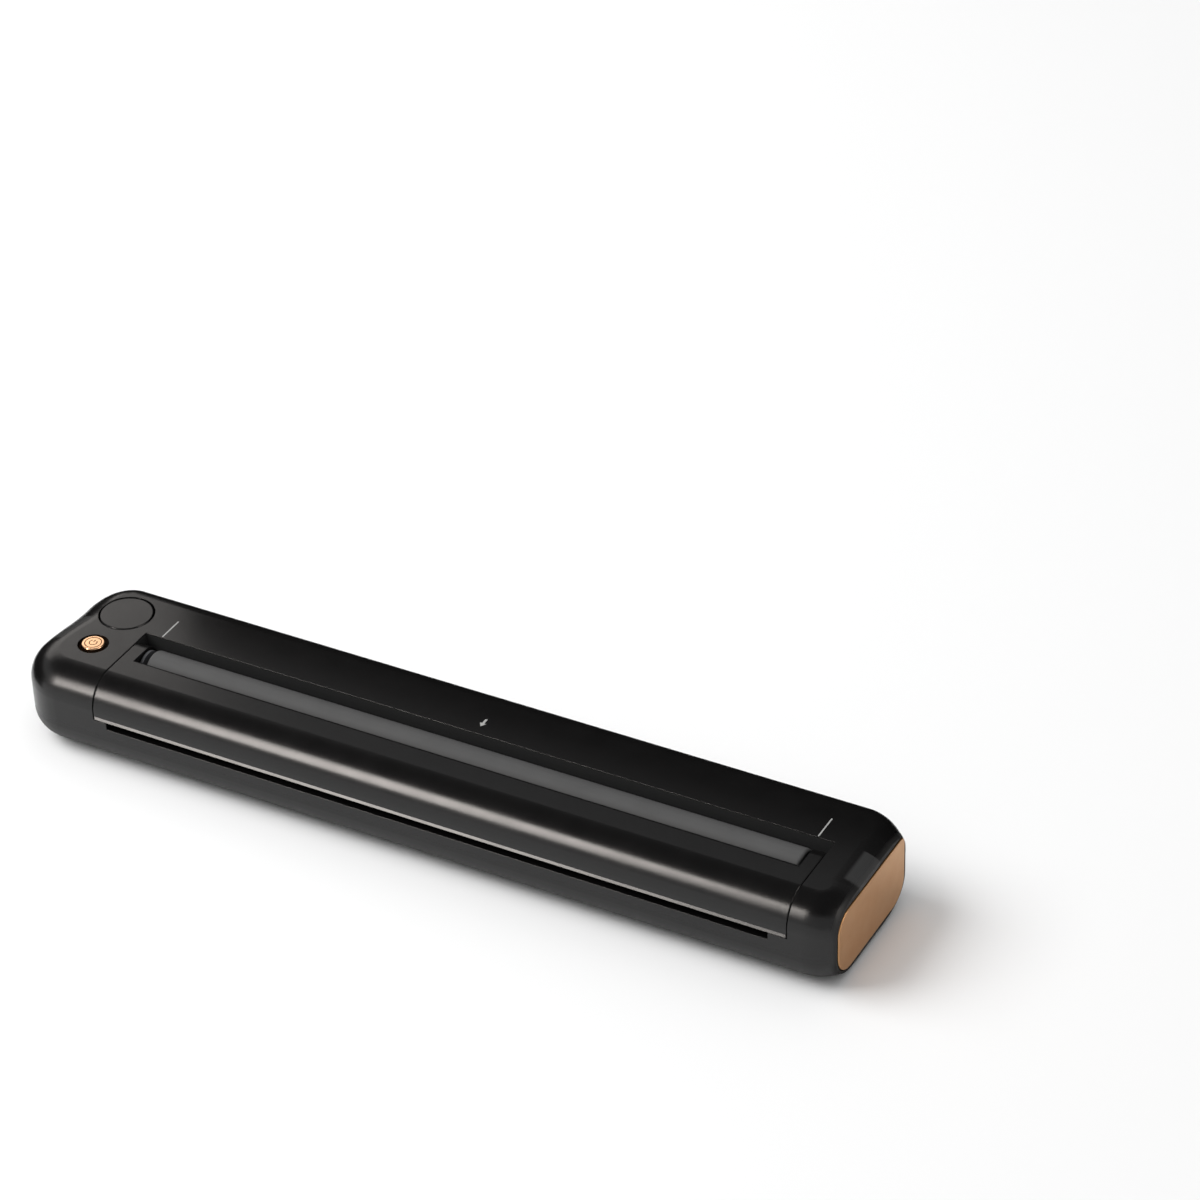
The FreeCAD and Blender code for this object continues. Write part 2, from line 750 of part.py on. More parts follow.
def motor_body():
    y, z = motor_centre
    can = rod(gear_plate_left - motor_length, gear_plate_left, y, z, motor_radius)
    can = can.makeFillet(edge_round * 2, [edge for edge in can.Edges if edge.Closed])
    bore = motor_shaft_radius + gear_bore_gap
    return can.cut(rod(gear_plate_left - motor_bore_depth, gear_plate_left + overrun, y, z, bore))


def gear_plate():
    margin = spacer_radius + slack
    low, high = z_inside + slack, latch_bottom - slack
    first, second, third = spacer_places
    outline = [
        (first[0] - margin, low), (second[0] + margin, low), (second[0] + margin, high),
        (third[0] + margin, high), (third[0] + margin, third[1] + margin),
        (third[0] - margin, third[1] + margin), (first[0] - margin, compound_centre[1]),
    ]
    plate = prism_x(outline, gear_plate_left, gear_plate_right)
    for (y, z), radius in ((motor_centre, motor_shaft_radius * 2), (compound_centre, gear_pin_radius)):
        plate = plate.cut(rod(gear_plate_left - overrun, gear_plate_right + overrun, y, z, radius))
    return plate


def gear_spacers():
    return Part.makeCompound([rod(gear_plate_right, frame_left_x - frame_thickness, y, z, spacer_radius)
                              for y, z in spacer_places])


def gear_pins():
    starts = (inner_gear_left - pin_proud / 2, gear_plate_left)
    return Part.makeCompound([rod(start, frame_left_x, y, z, gear_pin_radius)
                              for start, (y, z) in zip(starts, (idler_centre, compound_centre))])


def frame_outline(x0, x1):
    # Side frame: a pressed sheet that carries the platen's bush.
    low, high = z_inside + slack, latch_bottom + slack
    front_shoulder = roller_y - knuckle_radius + frame_shoulder
    rear_shoulder = roller_y + knuckle_radius - frame_shoulder
    return prism_x([
        (frame_front, low), (frame_rear, low), (frame_rear, high), (rear_shoulder + frame_shoulder, high),
        (rear_shoulder, z_deck - slack), (front_shoulder, z_deck - slack), (frame_front, high),
    ], x0, x1)


def side_frame_left():
    x0 = frame_left_x - frame_thickness
    frame = frame_outline(x0, frame_left_x)
    holes = [(platen_centre, bush_radius)]
    holes += [(centre, gear_pin_radius) for centre in (idler_centre, compound_centre)]
    holes += [(place, frame_screw_radius) for place in frame_screw_places]
    for (y, z), radius in holes:
        frame = frame.cut(rod(x0 - overrun, frame_left_x + overrun, y, z, radius))
    return frame


def side_frame_right():
    x1 = frame_right_x + frame_thickness
    frame = frame_outline(frame_right_x, x1)
    holes = [(platen_centre, bush_radius)] + [(place, frame_screw_radius) for place in frame_screw_places]
    for (y, z), radius in holes:
        frame = frame.cut(rod(frame_right_x - overrun, x1 + overrun, y, z, radius))
    return frame


def frame_screws():
    screws = []
    for y, z in frame_screw_places:
        x = frame_left_x - frame_thickness
        screws.append(rod(x - frame_screw_head_height, x, y, z, frame_screw_head_radius)
                      .fuse(rod(x, seam_left, y, z, frame_screw_radius)))
        x = frame_right_x + frame_thickness
        screws.append(rod(x, x + frame_screw_head_height, y, z, frame_screw_head_radius)
                      .fuse(rod(seam_right, x, y, z, frame_screw_radius)))
    return Part.makeCompound(screws)


def head_ceramic():
    half = ceramic_depth / 2
    return box(head_left, head_right, roller_y - half, roller_y + half, sink_top, head_top)


def lug_spans():
    return (head_left, head_left + lug_thickness), (head_right - lug_thickness, head_right)


def head_bracket():
    plate = box(head_left, head_right, sink_front, sink_rear, sink_bottom, sink_top)
    flange = box(head_left, head_right, sink_front, sink_front + sink_flange,
                 sink_bottom - sink_flange_height, sink_bottom)
    half = lug_depth / 2
    bracket = plate.fuse(flange)
    for x0, x1 in lug_spans():
        lug = box(x0, x1, pivot_y - half, pivot_y + half, pivot_z, sink_bottom)
        bracket = bracket.fuse(lug).fuse(rod(x0, x1, pivot_y, pivot_z, half))
    bracket = bracket.removeSplitter()
    for x0, x1 in lug_spans():
        hole = rod(x0 - overrun, x1 + overrun, pivot_y, pivot_z, pivot_radius + gear_bore_gap)
        bracket = bracket.cut(hole)
    return bracket


def ear_spans():
    left, right = head_left - slack, head_right + slack
    return (left - ear_thickness, left), (right, right + ear_thickness)


def head_pins():
    (left0, left1), (right0, right1) = ear_spans()
    reach = slack + lug_thickness + pin_proud
    return Part.makeCompound([
        rod(left0, left1 + reach, pivot_y, pivot_z, pivot_radius),
        rod(right0 - reach, right1, pivot_y, pivot_z, pivot_radius),
    ])


def head_springs():
    return Part.makeCompound([
        spring(x, head_spring_y, z_inside, sink_bottom, head_spring_radius, head_spring_wire,
               head_spring_turns)
        for x in head_spring_places])


def bottom_plate():
    plate = bottom_outline(0, z_floor, z_inside)
    half = lug_depth / 2
    ears = [box(x0, x1, pivot_y - half, pivot_y + half, z_inside, pivot_z + half) for x0, x1 in ear_spans()]
    pegs = [post(x, head_spring_y, z_inside, z_inside + spring_peg_height, spring_peg_radius)
            for x in head_spring_places]
    stands = [post(x, y, z_inside, board_height, spacer_radius) for x, y in board_posts]
    plate = plate.multiFuse(ears + pegs + stands)
    cuts = [rod(x0 - overrun, x1 + overrun, pivot_y, pivot_z, pivot_radius) for x0, x1 in ear_spans()]
    for x, y in tall_bosses + shelf_bosses:
        cuts.append(post(x, y, z_floor - overrun, z_floor + counterbore_depth,
                         screw_head_radius + counterbore_gap))
        cuts.append(post(x, y, z_floor, z_inside, screw_radius))
    cuts += [foot_form(x, y, z_floor - overrun, z_floor + foot_sink) for x, y in foot_places]
    for cut in cuts:
        plate = plate.cut(cut)
    return plate.removeSplitter()


def foot_form(x, y, z0, z1):
    half_x, half_y = foot_length / 2, foot_width / 2
    form = box(x - half_x, x + half_x, y - half_y, y + half_y, z0, z1)
    return round_edges(form, half_y - slack, lambda edge: runs_along(edge, along_z))


def rubber_feet():
    return Part.makeCompound([foot_form(x, y, 0, z_floor + foot_sink) for x, y in foot_places])


def housing_screws():
    screws = []
    top = z_floor + counterbore_depth
    for x, y in tall_bosses + shelf_bosses:
        head = post(x, y, top - screw_head_height, top, screw_head_radius)
        screws.append(head.fuse(post(x, y, top, top + screw_length, screw_radius)))
    return Part.makeCompound(screws)


def paper_guide():
    # Curved chute that leads the sheet round behind the roller to the print head.
    inner, outer = chute_radius, chute_radius + guide_thickness
    reach = outer + guide_rib_height + overrun

    def sector(start, end, big, small, x0, x1):
        ring = rod(x0, x1, roller_y, roller_z, big).cut(rod(x0, x1, roller_y, roller_z, small))
        wedge = [platen_centre, polar(platen_centre, reach, -start), polar(platen_centre, reach, -end)]
        return ring.common(prism_x(wedge, x0, x1))

    chute = sector(0, guide_end_angle, outer, inner, seam_left, seam_right)
    ribs = []
    for number in range(guide_rib_count):
        x = opening_left + (opening_right - opening_left - guide_thickness) * number / (guide_rib_count - 1)
        ribs.append(sector(guide_rib_start, guide_rib_end, outer + guide_rib_height, outer,
                           x, x + guide_thickness))
    return fused(chute, *ribs)


def release_button():
    cap = post(button_x, button_y, z_top - button_thickness, z_top, button_radius)
    cap = round_edges(cap, edge_round, lambda edge: near(edge.BoundBox.ZMin, z_top))
    half = stem_width / 2
    top = z_top - button_thickness
    skirt = post(button_x, button_y, top - button_skirt, top, button_radius)
    skirt = skirt.cut(post(button_x, button_y, well_floor_top, z_top, button_radius - button_skirt_wall))
    stem = prism_y([
        (button_x - half, top), (button_x + half, top), (button_x + half, stem_tip_z),
        (button_x, stem_tip_z), (button_x - half, stem_tip_z + half),
    ], button_y - stem_depth / 2, button_y + stem_depth / 2)
    return fused(cap, skirt, stem)


def release_spring():
    return spring(button_x, button_y, well_floor_top, z_top - button_thickness,
                  release_spring_radius, release_spring_wire, release_spring_turns)


def latch_slider():
    # Flat slider. The stem's slanted tip pushes it to the left when the button goes down.
    y0, y1 = button_y - latch_block_depth / 2, button_y + latch_block_depth / 2
    nose0, nose1 = latch_nose_y - latch_nose_width / 2, latch_nose_y + latch_nose_width / 2
    block = box(latch_left, latch_left + latch_block_width, y0, y1, latch_bottom, latch_top)
    arm = box(latch_left, latch_left + latch_arm_width, nose0, y0, latch_bottom, latch_top)
    nose = box(latch_left, seam_left - latch_nose_gap, nose0, nose1, latch_bottom, latch_top)
    slope = button_x + stem_tip_z - slack * math.sqrt(2)
    right = button_x + stem_width / 2 + button_travel + slack
    window = prism_y([
        (slope - latch_bottom, latch_bottom), (right, latch_bottom), (right, latch_top),
        (slope - latch_top, latch_top),
    ], button_y - stem_depth / 2 - slack, button_y + stem_depth / 2 + slack)
    return fused(block, arm, nose).cut(window)


def power_button():
    cap = post(power_x, power_y, power_cap_bottom, z_top + power_proud, power_radius)
    return round_edges(cap, edge_round, lambda edge: near(edge.BoundBox.ZMin, z_top + power_proud))


def power_bezel():
    seat = z_top - wall / 2
    ring = post(power_x, power_y, seat, z_top, bezel_radius)
    dish = Part.makeCone(power_radius + power_gap, bezel_radius, bezel_dish,
                         V(power_x, power_y, z_top - bezel_dish))
    hole = post(power_x, power_y, seat - overrun, z_top + overrun, power_radius + power_gap)
    return ring.cut(dish).cut(hole)


def button_board():
    half_x, half_y = button_board_width / 2, button_board_depth / 2
    return box(power_x - half_x, power_x + half_x, power_y - half_y, power_y + half_y,
               button_board_top - button_board_thickness, button_board_top)


def power_switch():
    half = switch_size / 2
    top = button_board_top + switch_height
    body = box(power_x - half, power_x + half, power_y - half, power_y + half, button_board_top, top)
    return body.fuse(post(power_x, power_y, top, plunger_top, switch_plunger_radius))


def battery_cells():
    cells = []
    for number in range(cell_count):
        x = cell_left + number * (cell_length + cell_space)
        cells.append(rod(x, x + cell_length, cell_y, cell_z, cell_radius))
    return Part.makeCompound(cells)


def battery_saddles(cavity):
    inset = cell_length / 8
    run = cells_length - 2 * inset - saddle_width
    half = saddle_depth_share * cell_radius / 2
    saddles = []
    for number in range(saddle_count):
        x = cell_left + inset + run * number / (saddle_count - 1)
        block = box(x, x + saddle_width, cell_y - half, cell_y + half, z_inside, cell_z - saddle_drop)
        block = block.cut(rod(x, x + saddle_width, cell_y, cell_z, cell_radius))
        saddles.append(block.common(cavity))
    return Part.makeCompound(saddles)


def main_board():
    return box(board_left, board_right, board_front, board_rear, board_height, board_top)


def board_chips():
    chips = []
    x = cable_x + cable_width + cell_space * 2
    room = usb_x - usb_width / 2 - cell_space - x
    for share, depth, height in zip(chip_shares, chip_depths, chip_heights):
        y = (board_front + board_rear - depth) / 2
        chips.append(box(x, x + share * room, y, y + depth, board_top, board_top + height))
        x += share * room + cell_space
    return Part.makeCompound(chips)


def usb_socket():
    front = y_rear - edge_round * 2
    shell = usb_form(0, front - usb_depth, front)
    thin = cable_thickness
    back = front - usb_depth_share * usb_depth
    half = usb_width / 2 - thin
    room = box(usb_x - half, usb_x + half, back, front + overrun, board_top + thin,
               board_top + usb_height - thin)
    room = round_edges(room, usb_height / 2 - thin * 2, lambda edge: runs_along(edge, along_y))
    middle = board_top + usb_height / 2
    tongue = box(usb_x - usb_width / 3, usb_x + usb_width / 3, back, front - usb_depth / 10,
                 middle - thin, middle + thin)
    return shell.cut(room).fuse(tongue)


def head_cable():
    y = sink_rear + bush_flange_gap
    x0, x1 = cable_x, cable_x + cable_width
    rise = box(x0, x1, y, y + cable_thickness, board_top, sink_bottom + ceramic_thickness)
    run = box(x0, x1, y, board_front + cable_width / 3, board_top, board_top + cable_thickness)
    return fused(rise, run)


def paper_sensor():
    middle = (seam_left + seam_right) / 2
    y = inlet_y + wall
    return box(middle, middle + sensor_width, y, y + sensor_depth, z_deck - sensor_height, z_deck)


def lid_switch():
    x = frame_right_x + frame_thickness
    y = frame_front + slack
    z = pivot_z + sensor_height
    return box(x, x + lid_switch_width, y, y + lid_switch_depth, z, z + lid_switch_height)


def build():
    outer = outer_form()
    cavity = cavity_form()
    return {
        "main_housing": main_housing(outer, cavity),
        "bottom_plate": bottom_plate(),
        "end_plate": end_plate(),
        "front_cover": front_cover(outer, cavity),
        "cover_guide": cover_guide(cavity),
        "platen_rubber": platen_rubber(),
        "platen_shaft": platen_shaft(),
        "platen_bush_left": platen_bush_left(),
        "platen_bush_right": platen_bush_right(),
        "platen_gear": platen_gear(),
        "idler_gear": idler_gear(),
        "compound_gear": compound_gear(),
        "motor_pinion": motor_pinion(),
        "motor_body": motor_body(),
        "gear_plate": gear_plate(),
        "gear_spacers": gear_spacers(),
        "gear_pins": gear_pins(),
        "side_frame_left": side_frame_left(),
        "side_frame_right": side_frame_right(),
        "frame_screws": frame_screws(),
        "head_ceramic": head_ceramic(),
        "head_bracket": head_bracket(),
        "head_pins": head_pins(),
        "head_springs": head_springs(),
        "head_cable": head_cable(),
        "paper_guide": paper_guide(),
        "paper_sensor": paper_sensor(),
        "lid_switch": lid_switch(),
        "release_button": release_button(),
        "release_spring": release_spring(),
        "latch_slider": latch_slider(),
        "power_button": power_button(),
        "power_bezel": power_bezel(),
        "power_switch": power_switch(),
        "button_board": button_board(),
        "battery_cells": battery_cells(),
        "battery_saddles": battery_saddles(cavity),
        "main_board": main_board(),
        "board_chips": board_chips(),
        "usb_socket": usb_socket(),
        "rubber_feet": rubber_feet(),
        "housing_screws": housing_screws(),
    }


os.makedirs("parts", exist_ok=True)
for node, shape in build().items():
    shape.exportStep("parts/" + node + ".step")
    print(node, "solids", len(shape.Solids), "valid", shape.isValid(), "volume", round(shape.Volume, 1))
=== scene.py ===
import math

import bmesh
import bpy
from mathutils import Matrix, Vector


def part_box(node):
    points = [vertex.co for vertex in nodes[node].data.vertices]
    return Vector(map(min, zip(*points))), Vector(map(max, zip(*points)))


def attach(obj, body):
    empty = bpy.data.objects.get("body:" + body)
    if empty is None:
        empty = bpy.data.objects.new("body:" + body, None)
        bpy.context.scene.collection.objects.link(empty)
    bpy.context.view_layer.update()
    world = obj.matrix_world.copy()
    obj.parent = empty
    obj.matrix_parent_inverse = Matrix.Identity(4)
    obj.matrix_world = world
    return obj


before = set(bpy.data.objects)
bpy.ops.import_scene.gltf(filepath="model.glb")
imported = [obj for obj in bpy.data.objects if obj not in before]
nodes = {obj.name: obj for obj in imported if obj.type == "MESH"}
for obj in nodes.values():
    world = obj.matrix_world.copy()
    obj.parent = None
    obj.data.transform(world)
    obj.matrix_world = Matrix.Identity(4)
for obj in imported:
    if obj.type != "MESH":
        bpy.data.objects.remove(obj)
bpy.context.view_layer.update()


def mm(value):
    return value / 1000


def inMm(length):
    return length * 1000


deckTop = inMm(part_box("main_housing")[1][2])


def linear(hexWord):
    # A colour as written for screens, turned into the shader's linear red, green, blue and alpha.
    parts = [int(hexWord[place:place + 2], 16) / 255 for place in (1, 3, 5)]
    parts = [part / 12.92 if part <= 0.04045 else ((part + 0.055) / 1.055) ** 2.4 for part in parts]
    return (*parts, 1.0)


def addNode(tree, kind, settings=None, links=None):
    # Adds one shader node. Sockets go by their label or number in both dictionaries, and settings also holds
    # the node's own properties.
    node = tree.nodes.new(kind)
    for name, value in (settings or {}).items():
        if isinstance(name, int) or name in node.inputs:
            node.inputs[name].default_value = value
        else:
            setattr(node, name, value)
    for name, source in (links or {}).items():
        tree.links.new(source, node.inputs[name])
    return node


def newMaterial(name, settings):
    # A material whose shader has these settings.
    material = bpy.data.materials.new(name)
    material.use_nodes = True
    shader = material.node_tree.nodes["Principled BSDF"]
    for socket, value in settings.items():
        shader.inputs[socket].default_value = value
    return material


noiseLook = {"low": 0.3, "high": 0.7,  # most of a noise texture's values lie between these
             "blotchDetail": 4.0, "grainDetail": 3.0}


def grained(name, colours, rough, grain, depth, metal=0.0, specular=0.5, blotch=9.0):
    # Colour and roughness run between two values in blotches, under a fine grain. Sizes are in millimetres.
    material = newMaterial(name, {"Metallic": metal, "Specular IOR Level": specular})
    tree = material.node_tree
    shader = tree.nodes["Principled BSDF"]
    place = addNode(tree, "ShaderNodeTexCoord").outputs["Object"]
    broad = addNode(tree, "ShaderNodeTexNoise",
                    {"Scale": 1 / mm(blotch), "Detail": noiseLook["blotchDetail"]},
                    {"Vector": place}).outputs["Fac"]
    ramp = addNode(tree, "ShaderNodeValToRGB", links={"Fac": broad})
    for stop, colour in zip(ramp.color_ramp.elements, colours):
        stop.color = linear(colour)
    uneven = addNode(tree, "ShaderNodeMapRange",
                     {"From Min": noiseLook["low"], "From Max": noiseLook["high"],
                      "To Min": rough[0], "To Max": rough[1]}, {"Value": broad})
    fine = addNode(tree, "ShaderNodeTexNoise",
                   {"Scale": 1 / mm(grain), "Detail": noiseLook["grainDetail"]}, {"Vector": place})
    bump = addNode(tree, "ShaderNodeBump", {"Distance": mm(depth)}, {"Height": fine.outputs["Fac"]})
    tree.links.new(ramp.outputs["Color"], shader.inputs["Base Color"])
    tree.links.new(uneven.outputs["Result"], shader.inputs["Roughness"])
    tree.links.new(bump.outputs["Normal"], shader.inputs["Normal"])
    return material


def within(tree, *ranges):
    # 1 inside all ranges and 0 outside. Each has an axis and two places, between which it fades in.
    place = addNode(tree, "ShaderNodeTexCoord").outputs["Object"]
    axes = addNode(tree, "ShaderNodeSeparateXYZ", links={"Vector": place}).outputs
    shares = [addNode(tree, "ShaderNodeMapRange", {"From Min": mm(start), "From Max": mm(end)},
                      {"Value": axes[axis]}).outputs["Result"] for axis, start, end in ranges]
    whole = shares[0]
    for share in shares[1:]:
        whole = addNode(tree, "ShaderNodeMath", {"operation": "MULTIPLY"}, {0: whole, 1: share}).outputs[0]
    return whole


def edged(material, radius, samples=4):
    # Light runs round the edges as if they had this radius in millimetres.
    tree = material.node_tree
    grain = tree.nodes["Principled BSDF"].inputs["Normal"].links[0].from_node
    bevel = addNode(tree, "ShaderNodeBevel", {"samples": samples, "Radius": mm(radius)})
    tree.links.new(bevel.outputs["Normal"], grain.inputs["Normal"])


def lipped(material, low, high, rise):
    # A small lip stands out below the upper height, and catches the light on its slope. Edges come first.
    tree = material.node_tree
    grain = tree.nodes["Principled BSDF"].inputs["Normal"].links[0].from_node
    edge = grain.inputs["Normal"].links[0].from_socket
    lip = addNode(tree, "ShaderNodeBump", {"Distance": mm(rise)},
                  {"Height": within(tree, ("Z", high, low)), "Normal": edge})
    tree.links.new(lip.outputs["Normal"], grain.inputs["Normal"])


def coarsened(material, share, extra):
    # Adds to the roughness where the share is 1.
    tree = material.node_tree
    rough = tree.nodes["Principled BSDF"].inputs["Roughness"]
    total = addNode(tree, "ShaderNodeMath", {"operation": "MULTIPLY_ADD", 1: extra},
                    {0: share, 2: rough.links[0].from_socket})
    tree.links.new(total.outputs[0], rough)


mixSockets = {"share": 0, "first": 6, "second": 7, "result": 2}  # numbers of a Mix node's colour sockets


def recoloured(material, share, colour):
    # Turns the colour to this one where the share is 1.
    tree = material.node_tree
    base = tree.nodes["Principled BSDF"].inputs["Base Color"]
    mix = addNode(tree, "ShaderNodeMix", {"data_type": "RGBA", mixSockets["second"]: linear(colour)},
                  {mixSockets["share"]: share, mixSockets["first"]: base.links[0].from_socket})
    tree.links.new(mix.outputs[mixSockets["result"]], base)


def paintedShadeNearWalls(material, reach, samples, shut, free, colour):
    # Paints shade: turns the colour to this one where walls within reach hide the surface.
    tree = material.node_tree
    light = addNode(tree, "ShaderNodeAmbientOcclusion", {"samples": samples, "Distance": mm(reach)})
    share = addNode(tree, "ShaderNodeMapRange",
                    {"From Min": shut, "From Max": free, "To Min": 1.0, "To Max": 0.0},
                    {"Value": light.outputs["AO"]})
    recoloured(material, share.outputs["Result"], colour)


# Blasting, turning, etching and printing leave finer grains than these, drawn coarser so that they show.
finishes = {
    # Moulded ABS from a spark-eroded mould: nearly black, with long soft highlights
    "satin_black_abs": {"colours": ("#0b0b0b", "#121111"), "rough": (0.23, 0.27),
                        "grain": 0.12, "depth": 0.004, "specular": 0.4},
    # The same plastic where only inner walls and ribs show: duller
    "rough_black_abs": {"colours": ("#0d0d0d", "#151515"), "rough": (0.5, 0.6),
                        "grain": 0.3, "depth": 0.01},
    # Ground silicone rubber: an even matte dark grey
    "ground_silicone_rubber": {"colours": ("#4a4a4a", "#525252"), "rough": (0.5, 0.6),
                               "grain": 0.15, "depth": 0.01, "specular": 0.3},
    # Bead-blasted and anodised aluminium: a soft rose-gold sheen without streaks
    "blasted_rose_aluminium": {"colours": ("#bd9266", "#b2855c"), "rough": (0.36, 0.44),
                               "grain": 0.1, "depth": 0.004, "metal": 1.0},
    # The same tone on a turned face: brighter and sharper
    "turned_rose_aluminium": {"colours": ("#fbd0a6", "#efbd92"), "rough": (0.2, 0.26),
                              "grain": 0.1, "depth": 0.002, "metal": 1.0},
    # Aluminium anodised nearly black: a dark metal rim with brown in it
    "dark_anodised_aluminium": {"colours": ("#1a120c", "#24190f"), "rough": (0.3, 0.4),
                                "grain": 0.1, "depth": 0.002, "metal": 1.0},
    # Silk-screen ink: flat light grey
    "grey_screen_ink": {"colours": ("#9a9a98", "#a4a4a2"), "rough": (0.5, 0.6),
                        "grain": 0.08, "depth": 0.003},
    # Etched aluminium, where the anodising is deeper: brown and duller than its cap
    "etched_copper_tone": {"colours": ("#74431f", "#835026"), "rough": (0.4, 0.5),
                           "grain": 0.05, "depth": 0.002, "metal": 1.0},
    # Drawn steel: grey and fairly bright
    "drawn_steel": {"colours": ("#8c8c8e", "#a0a0a2"), "rough": (0.25, 0.4),
                    "grain": 0.2, "depth": 0.004, "metal": 1.0},
    # Acetal as moulded: milky white and waxy
    "natural_acetal": {"colours": ("#d8d6cf", "#e2e0da"), "rough": (0.35, 0.45),
                       "grain": 0.3, "depth": 0.004},
    # Acetal dyed grey, as bearings often are
    "grey_acetal": {"colours": ("#47484a", "#525356"), "rough": (0.4, 0.5),
                    "grain": 0.3, "depth": 0.004},
    # Turned brass: yellow and bright
    "turned_brass": {"colours": ("#b48a3c", "#c59a4c"), "rough": (0.25, 0.35),
                     "grain": 0.2, "depth": 0.003, "metal": 1.0},
    # Soft moulded rubber: black without any shine
    "soft_foot_rubber": {"colours": ("#151515", "#1d1d1d"), "rough": (0.7, 0.8),
                         "grain": 0.2, "depth": 0.02},
    # Solder mask over a circuit board: glossy dark green
    "solder_mask": {"colours": ("#0d3d20", "#124a29"), "rough": (0.25, 0.35),
                    "grain": 0.3, "depth": 0.004},
    # Moulded epoxy of chips and switches: dull black
    "moulded_epoxy": {"colours": ("#101010", "#181818"), "rough": (0.5, 0.6),
                      "grain": 0.15, "depth": 0.008},
    # Shrunk PVC wrap of the cells: blue with a soft gloss
    "blue_shrink_wrap": {"colours": ("#1a3f7a", "#20498a"), "rough": (0.3, 0.4),
                         "grain": 1.0, "depth": 0.01},
    # Polyimide film of the flat cable: glossy amber
    "amber_film": {"colours": ("#8f5410", "#a76518"), "rough": (0.2, 0.3),
                   "grain": 0.5, "depth": 0.004},
    # Glazed alumina of the print head: smooth off-white
    "glazed_alumina": {"colours": ("#c9c4b6", "#d6d2c6"), "rough": (0.15, 0.25),
                       "grain": 0.3, "depth": 0.002},
    # Extruded aluminium: plain and softly bright
    "extruded_aluminium": {"colours": ("#9d9fa2", "#adafb2"), "rough": (0.35, 0.45),
                           "grain": 0.2, "depth": 0.004, "metal": 1.0},
    # Black felt: takes nearly all light
    "black_felt": {"colours": ("#0a0a0a", "#101010"), "rough": (0.9, 1.0),
                   "grain": 0.5, "depth": 0.05, "specular": 0.0},
}
materials = {name: grained(name, **finish) for name, finish in finishes.items()}

# The body's plastic is rougher low down and on its right end, and the inlet's inner walls get painted light,
# a paler colour
bodyLook = {"skirt": ("Z", 11.0, 4.0), "skirtExtra": 0.3,
            "rightEnd": ("X", 130.5, 131.8), "rightEndExtra": 0.45,
            "inletFront": ("Y", -9.0, -8.0), "inletRear": ("Y", 4.4, 4.2),
            "inletRim": ("Z", deckTop - 0.15, deckTop - 0.35), "inletPaintedLightColour": "#343434", "edge": 0.25}
bodyPlastic = materials["satin_black_abs"]
bodyTree = bodyPlastic.node_tree
coarsened(bodyPlastic, within(bodyTree, bodyLook["skirt"]), bodyLook["skirtExtra"])
coarsened(bodyPlastic, within(bodyTree, bodyLook["rightEnd"]), bodyLook["rightEndExtra"])
# Painted light: a paler colour on the inlet's inner walls stands in for light falling into the inlet
inletPaintedLightShare = within(bodyTree, bodyLook["inletFront"], bodyLook["inletRear"], bodyLook["inletRim"])
recoloured(bodyPlastic, inletPaintedLightShare, bodyLook["inletPaintedLightColour"])
edged(bodyPlastic, bodyLook["edge"])

# The cover's plastic is the same, with sharper edges and a small lip along its lower edge
coverLook = {"edge": 0.15, "lip": {"low": 15.75, "high": 16.85, "rise": 0.85}}
coverPlastic = grained("satin_black_abs_with_lip", **finishes["satin_black_abs"])
edged(coverPlastic, coverLook["edge"])
lipped(coverPlastic, **coverLook["lip"])
materials["satin_black_abs_with_lip"] = coverPlastic

# The roller is darker where it runs close to the walls: painted shade in the narrow gap
rollerPaintedShade = {"reach": 3.0, "samples": 8, "shut": 0.25, "free": 0.95, "colour": "#1a1a1a"}
# Painted shade on the roller's rubber, darkest beside the cover's lip and the inlet wall
paintedShadeNearWalls(materials["ground_silicone_rubber"], **rollerPaintedShade)
print("materials made")

dressed = {
    "satin_black_abs": ("main_housing", "bottom_plate", "release_button"),
    "satin_black_abs_with_lip": ("front_cover",),
    "rough_black_abs": ("cover_guide", "paper_guide", "battery_saddles"),
    "ground_silicone_rubber": ("platen_rubber",),
    "blasted_rose_aluminium": ("end_plate",),
    "turned_rose_aluminium": ("power_button",),
    "dark_anodised_aluminium": ("power_bezel",),
    "drawn_steel": ("platen_shaft", "motor_body", "gear_plate", "gear_spacers", "gear_pins",
                    "side_frame_left", "side_frame_right", "frame_screws", "housing_screws",
                    "head_pins", "head_springs", "release_spring", "usb_socket"),
    "natural_acetal": ("platen_gear", "idler_gear", "compound_gear", "latch_slider"),
    "grey_acetal": ("platen_bush_left", "platen_bush_right"),
    "turned_brass": ("motor_pinion",),
    "soft_foot_rubber": ("rubber_feet",),
    "solder_mask": ("button_board", "main_board"),
    "moulded_epoxy": ("paper_sensor", "lid_switch", "power_switch", "board_chips"),
    "blue_shrink_wrap": ("battery_cells",),
    "amber_film": ("head_cable",),
    "glazed_alumina": ("head_ceramic",),
    "extruded_aluminium": ("head_bracket",),
}
for finish, names in dressed.items():
    for name in names:
        for slot in nodes[name].material_slots:
            slot.material = materials[finish]
print("parts dressed")


def placed(name, data):
    # Adds an object with this data to the scene.
    thing = bpy.data.objects.new(name, data)
    bpy.context.scene.collection.objects.link(thing)
    return thing


def modelled(name, form, material):
    # Turns a finished form into an object of one material.
    mesh = bpy.data.meshes.new(name)
    form.to_mesh(mesh)
    form.free()
    mesh.materials.append(material)
    return placed(name, mesh)


def rectangle(x, y, width, depth):
    # Corners of a rectangle with the middle of its front edge at this place.
    return [(x - width / 2, y), (x + width / 2, y), (x + width / 2, y + depth), (x - width / 2, y + depth)]


def raised(form, outline, low, high):
    # Raises an outline of (x, y) points from one height to another, all in millimetres.
    face = form.faces.new([form.verts.new((mm(x), mm(y), mm(low))) for x, y in outline])
    grown = bmesh.ops.extrude_face_region(form, geom=[face])["geom"]
    top = [item for item in grown if isinstance(item, bmesh.types.BMVert)]
    bmesh.ops.translate(form, vec=(0, 0, mm(high - low)), verts=top)


